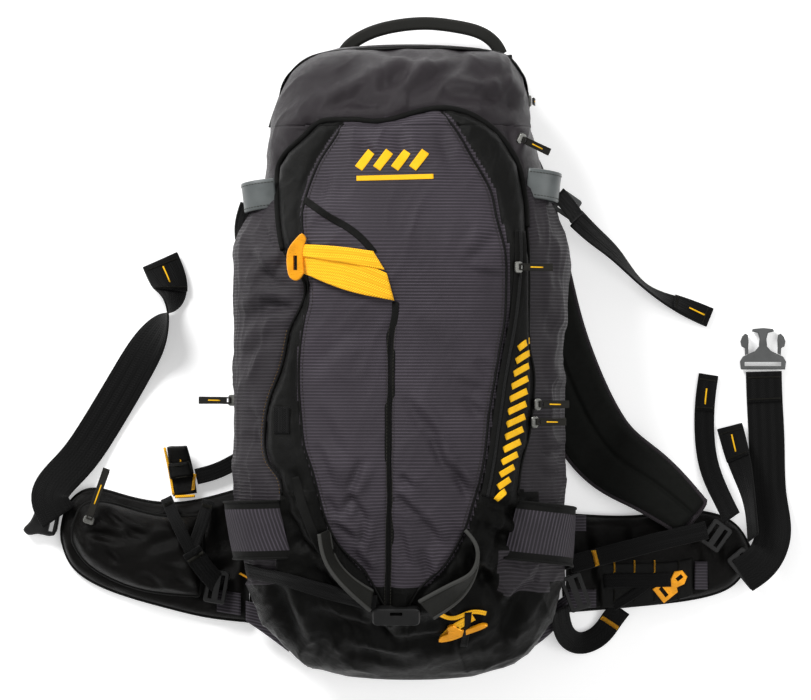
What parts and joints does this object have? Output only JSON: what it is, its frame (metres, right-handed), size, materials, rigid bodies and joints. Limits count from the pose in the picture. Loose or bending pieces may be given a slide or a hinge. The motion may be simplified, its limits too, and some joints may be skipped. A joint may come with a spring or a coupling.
{
  "type": "ski touring backpack",
  "caption": "Padded ski touring backpack lying on its harness, with a hinged top lid, a stiff-framed back, shoulder straps, a folding hip belt with a side-release buckle, and zips.",
  "frame": {"origin": "on the surface the pack lies on, under the middle of its bounding box", "axes": "+X to the right as seen from the pack's front, across the spread hip belt; +Y towards the top of the pack; +Z from the harness to the front of the pack"},
  "size_m": [0.7657, 0.6535, 0.2205],
  "materials": {
    "striped_nylon": "ripstop weave with fine raised lines",
    "plain_nylon": "smooth coated nylon",
    "black_nylon": "coarse black nylon",
    "mesh_foam": "foam under spacer mesh",
    "webbing": "woven webbing",
    "grey_webbing": "grey coated strap",
    "yellow_webbing": "yellow webbing",
    "black_plastic": "moulded",
    "grey_plastic": "moulded",
    "yellow_metal": "amber anodised",
    "zip_metal": "satin",
    "frame_metal": "satin",
    "frame_plastic": "sheet"
  },
  "bodies": {
    "pack": {"bag_shell": "plain_nylon", "front_pocket": "striped_nylon", "back_panel": "black_nylon", "frame_sheet": "frame_plastic", "frame_stay": "frame_metal", "back_pad_left": "mesh_foam", "back_pad_right": "mesh_foam", "lumbar_pad": "mesh_foam", "shoulder_strap_left": "mesh_foam", "shoulder_strap_right": "mesh_foam", "shoulder_webbing_right": "webbing", "shoulder_webbing_left": "webbing", "shoulder_lock_right": "black_plastic", "shoulder_tail_right": "webbing", "shoulder_tail_left": "webbing", "stabilizer_lock_right": "black_plastic", "stabilizer_loop_right": "webbing", "side_sleeve_left": "striped_nylon", "side_sleeve_right": "striped_nylon", "ski_loop_left": "grey_webbing", "ski_loop_right": "grey_webbing", "ski_loop_buckle": "black_plastic", "ski_sling": "yellow_webbing", "compression_tab_left": "grey_plastic", "compression_tab_right": "grey_plastic", "compression_lock_right": "grey_plastic", "compression_tail_right": "webbing"},
    "lid": {"lid": "plain_nylon"},
    "handle": {"haul_handle": "black_nylon"},
    "chest_strap": {"sternum_webbing": "webbing", "sternum_buckle": "black_plastic"},
    "left_wing": {"belt_wing_left": "black_nylon", "belt_pocket": "black_nylon", "belt_webbing_left": "webbing", "buckle_socket": "black_plastic", "stabilizer_lock_left": "black_plastic"},
    "right_wing": {"belt_wing_right": "black_nylon", "belt_webbing_right": "webbing", "belt_lock_right": "black_plastic", "stabilizer_tail_right": "webbing", "buckle_plug": "grey_plastic"},
    "left_prong": {"buckle_prong_left": "grey_plastic"},
    "right_prong": {"buckle_prong_right": "grey_plastic"},
    "sling_hook": {"sling_hook": "yellow_metal"},
    "lower_hook": {"lower_hook": "yellow_metal"},
    "gear_buckle": {"gear_buckle": "yellow_metal"},
    "front_zip_slider": {"front_zip_slider": "zip_metal"},
    "front_zip_pull": {"front_zip_pull": "grey_webbing"},
    "side_zip_upper_slider": {"side_zip_upper_slider": "zip_metal"},
    "side_zip_upper_pull": {"side_zip_upper_pull": "grey_webbing"},
    "side_zip_lower_slider": {"side_zip_lower_slider": "zip_metal"},
    "side_zip_lower_pull": {"side_zip_lower_pull": "grey_webbing"},
    "lid_zip_upper_slider": {"lid_zip_upper_slider": "zip_metal"},
    "lid_zip_upper_pull": {"lid_zip_upper_pull": "grey_webbing"},
    "lid_zip_lower_slider": {"lid_zip_lower_slider": "zip_metal"},
    "lid_zip_lower_pull": {"lid_zip_lower_pull": "grey_webbing"},
    "belt_zip_slider": {"belt_zip_slider": "zip_metal"},
    "belt_zip_pull": {"belt_zip_pull": "grey_webbing"},
    "left_zip_slider": {"left_zip_slider": "zip_metal"},
    "left_zip_pull": {"left_zip_pull": "grey_webbing"}
  },
  "joints": [
    {"name": "lid_open", "type": "hinge", "parent": "pack", "child": "lid", "pos_m": [0, 0.232, 0.168], "axis": [1, 0, 0], "range_deg": [0, 100]},
    {"name": "handle_swing", "type": "hinge", "parent": "pack", "child": "handle", "pos_m": [0.012, 0.293, 0.025], "axis": [1, 0, 0], "range_deg": [-25, 60]},
    {"name": "left_wing_fold", "type": "hinge", "parent": "pack", "child": "left_wing", "pos_m": [-0.158, -0.2, 0.01], "axis": [0, 1, 0], "range_deg": [-70, 35]},
    {"name": "right_wing_fold", "type": "hinge", "parent": "pack", "child": "right_wing", "pos_m": [0.158, -0.2, 0.01], "axis": [0, 1, 0], "range_deg": [0, 70]},
    {"name": "chest_strap_height", "type": "slide", "parent": "pack", "child": "chest_strap", "axis": [0, 1, 0], "range_m": [-0.025, 0.025]},
    {"name": "front_zip_travel", "type": "slide", "parent": "pack", "child": "front_zip_slider", "axis": [0, 1, 0], "range_m": [-0.16, 0]},
    {"name": "front_zip_pull_swing", "type": "hinge", "parent": "front_zip_slider", "child": "front_zip_pull", "pos_m": [0.10883, 0.078, 0.20363], "axis": [0, -1, 0], "range_deg": [0, 150]},
    {"name": "side_zip_upper_travel", "type": "slide", "parent": "pack", "child": "side_zip_upper_slider", "axis": [0, 1, 0], "range_m": [0, 0.14]},
    {"name": "side_zip_upper_pull_swing", "type": "hinge", "parent": "side_zip_upper_slider", "child": "side_zip_upper_pull", "pos_m": [0.12863, -0.054, 0.17844], "axis": [0, -1, 0], "range_deg": [0, 150]},
    {"name": "side_zip_lower_travel", "type": "slide", "parent": "pack", "child": "side_zip_lower_slider", "axis": [0, 1, 0], "range_m": [-0.05, 0]},
    {"name": "side_zip_lower_pull_swing", "type": "hinge", "parent": "side_zip_lower_slider", "child": "side_zip_lower_pull", "pos_m": [0.12563, -0.071, 0.18135], "axis": [0, -1, 0], "range_deg": [0, 150]},
    {"name": "lid_zip_upper_travel", "type": "slide", "parent": "pack", "child": "lid_zip_upper_slider", "axis": [0, 1, 0], "range_m": [-0.008, 0.014]},
    {"name": "lid_zip_upper_pull_swing", "type": "hinge", "parent": "lid_zip_upper_slider", "child": "lid_zip_upper_pull", "pos_m": [0.12325, 0.243, 0.08954], "axis": [0, -1, 0], "range_deg": [0, 95]},
    {"name": "lid_zip_lower_travel", "type": "slide", "parent": "pack", "child": "lid_zip_lower_slider", "axis": [0.4067, 0.9135, 0], "range_m": [0, 0.012]},
    {"name": "lid_zip_lower_pull_swing", "type": "hinge", "parent": "lid_zip_lower_slider", "child": "lid_zip_lower_pull", "pos_m": [0.11323, 0.20212, 0.14977], "axis": [-0.4067, -0.9135, 0], "range_deg": [0, 150]},
    {"name": "belt_zip_travel", "type": "slide", "parent": "left_wing", "child": "belt_zip_slider", "axis": [-0.9455, 0.3256, 0], "range_m": [-0.06, 0]},
    {"name": "belt_zip_pull_swing", "type": "hinge", "parent": "belt_zip_slider", "child": "belt_zip_pull", "pos_m": [-0.31481, -0.16791, 0.05245], "axis": [0.9455, -0.3256, 0], "range_deg": [0, 150]},
    {"name": "left_zip_travel", "type": "slide", "parent": "pack", "child": "left_zip_slider", "axis": [0, -1, 0], "range_m": [-0.12, 0]},
    {"name": "left_zip_pull_swing", "type": "hinge", "parent": "left_zip_slider", "child": "left_zip_pull", "pos_m": [-0.17522, -0.051, 0.08155], "axis": [0, 1, 0], "range_deg": [0, 100]},
    {"name": "left_prong_flex", "type": "hinge", "parent": "right_wing", "child": "left_prong", "pos_m": [0.3387, -0.0055, 0.005], "axis": [0, 0, -1], "range_deg": [0, 7], "stiffness_Nm_per_rad": 1},
    {"name": "right_prong_flex", "type": "hinge", "parent": "right_wing", "child": "right_prong", "pos_m": [0.3713, -0.0055, 0.005], "axis": [0, 0, 1], "range_deg": [0, 7], "stiffness_Nm_per_rad": 1},
    {"name": "sling_hook_swing", "type": "hinge", "parent": "pack", "child": "sling_hook", "pos_m": [-0.099, 0.088, 0.21281], "axis": [0, 1, 0], "range_deg": [0, 120]},
    {"name": "lower_hook_swing", "type": "hinge", "parent": "pack", "child": "lower_hook", "pos_m": [0.074, -0.26883, 0.15105], "axis": [-0.309, 0.7068, 0.6364], "range_deg": [0, 110]},
    {"name": "gear_buckle_swing", "type": "hinge", "parent": "right_wing", "child": "gear_buckle", "pos_m": [0.25179, -0.2447, 0.0232], "axis": [0.6293, -0.7771, 0], "range_deg": [0, 110]}
  ]
}
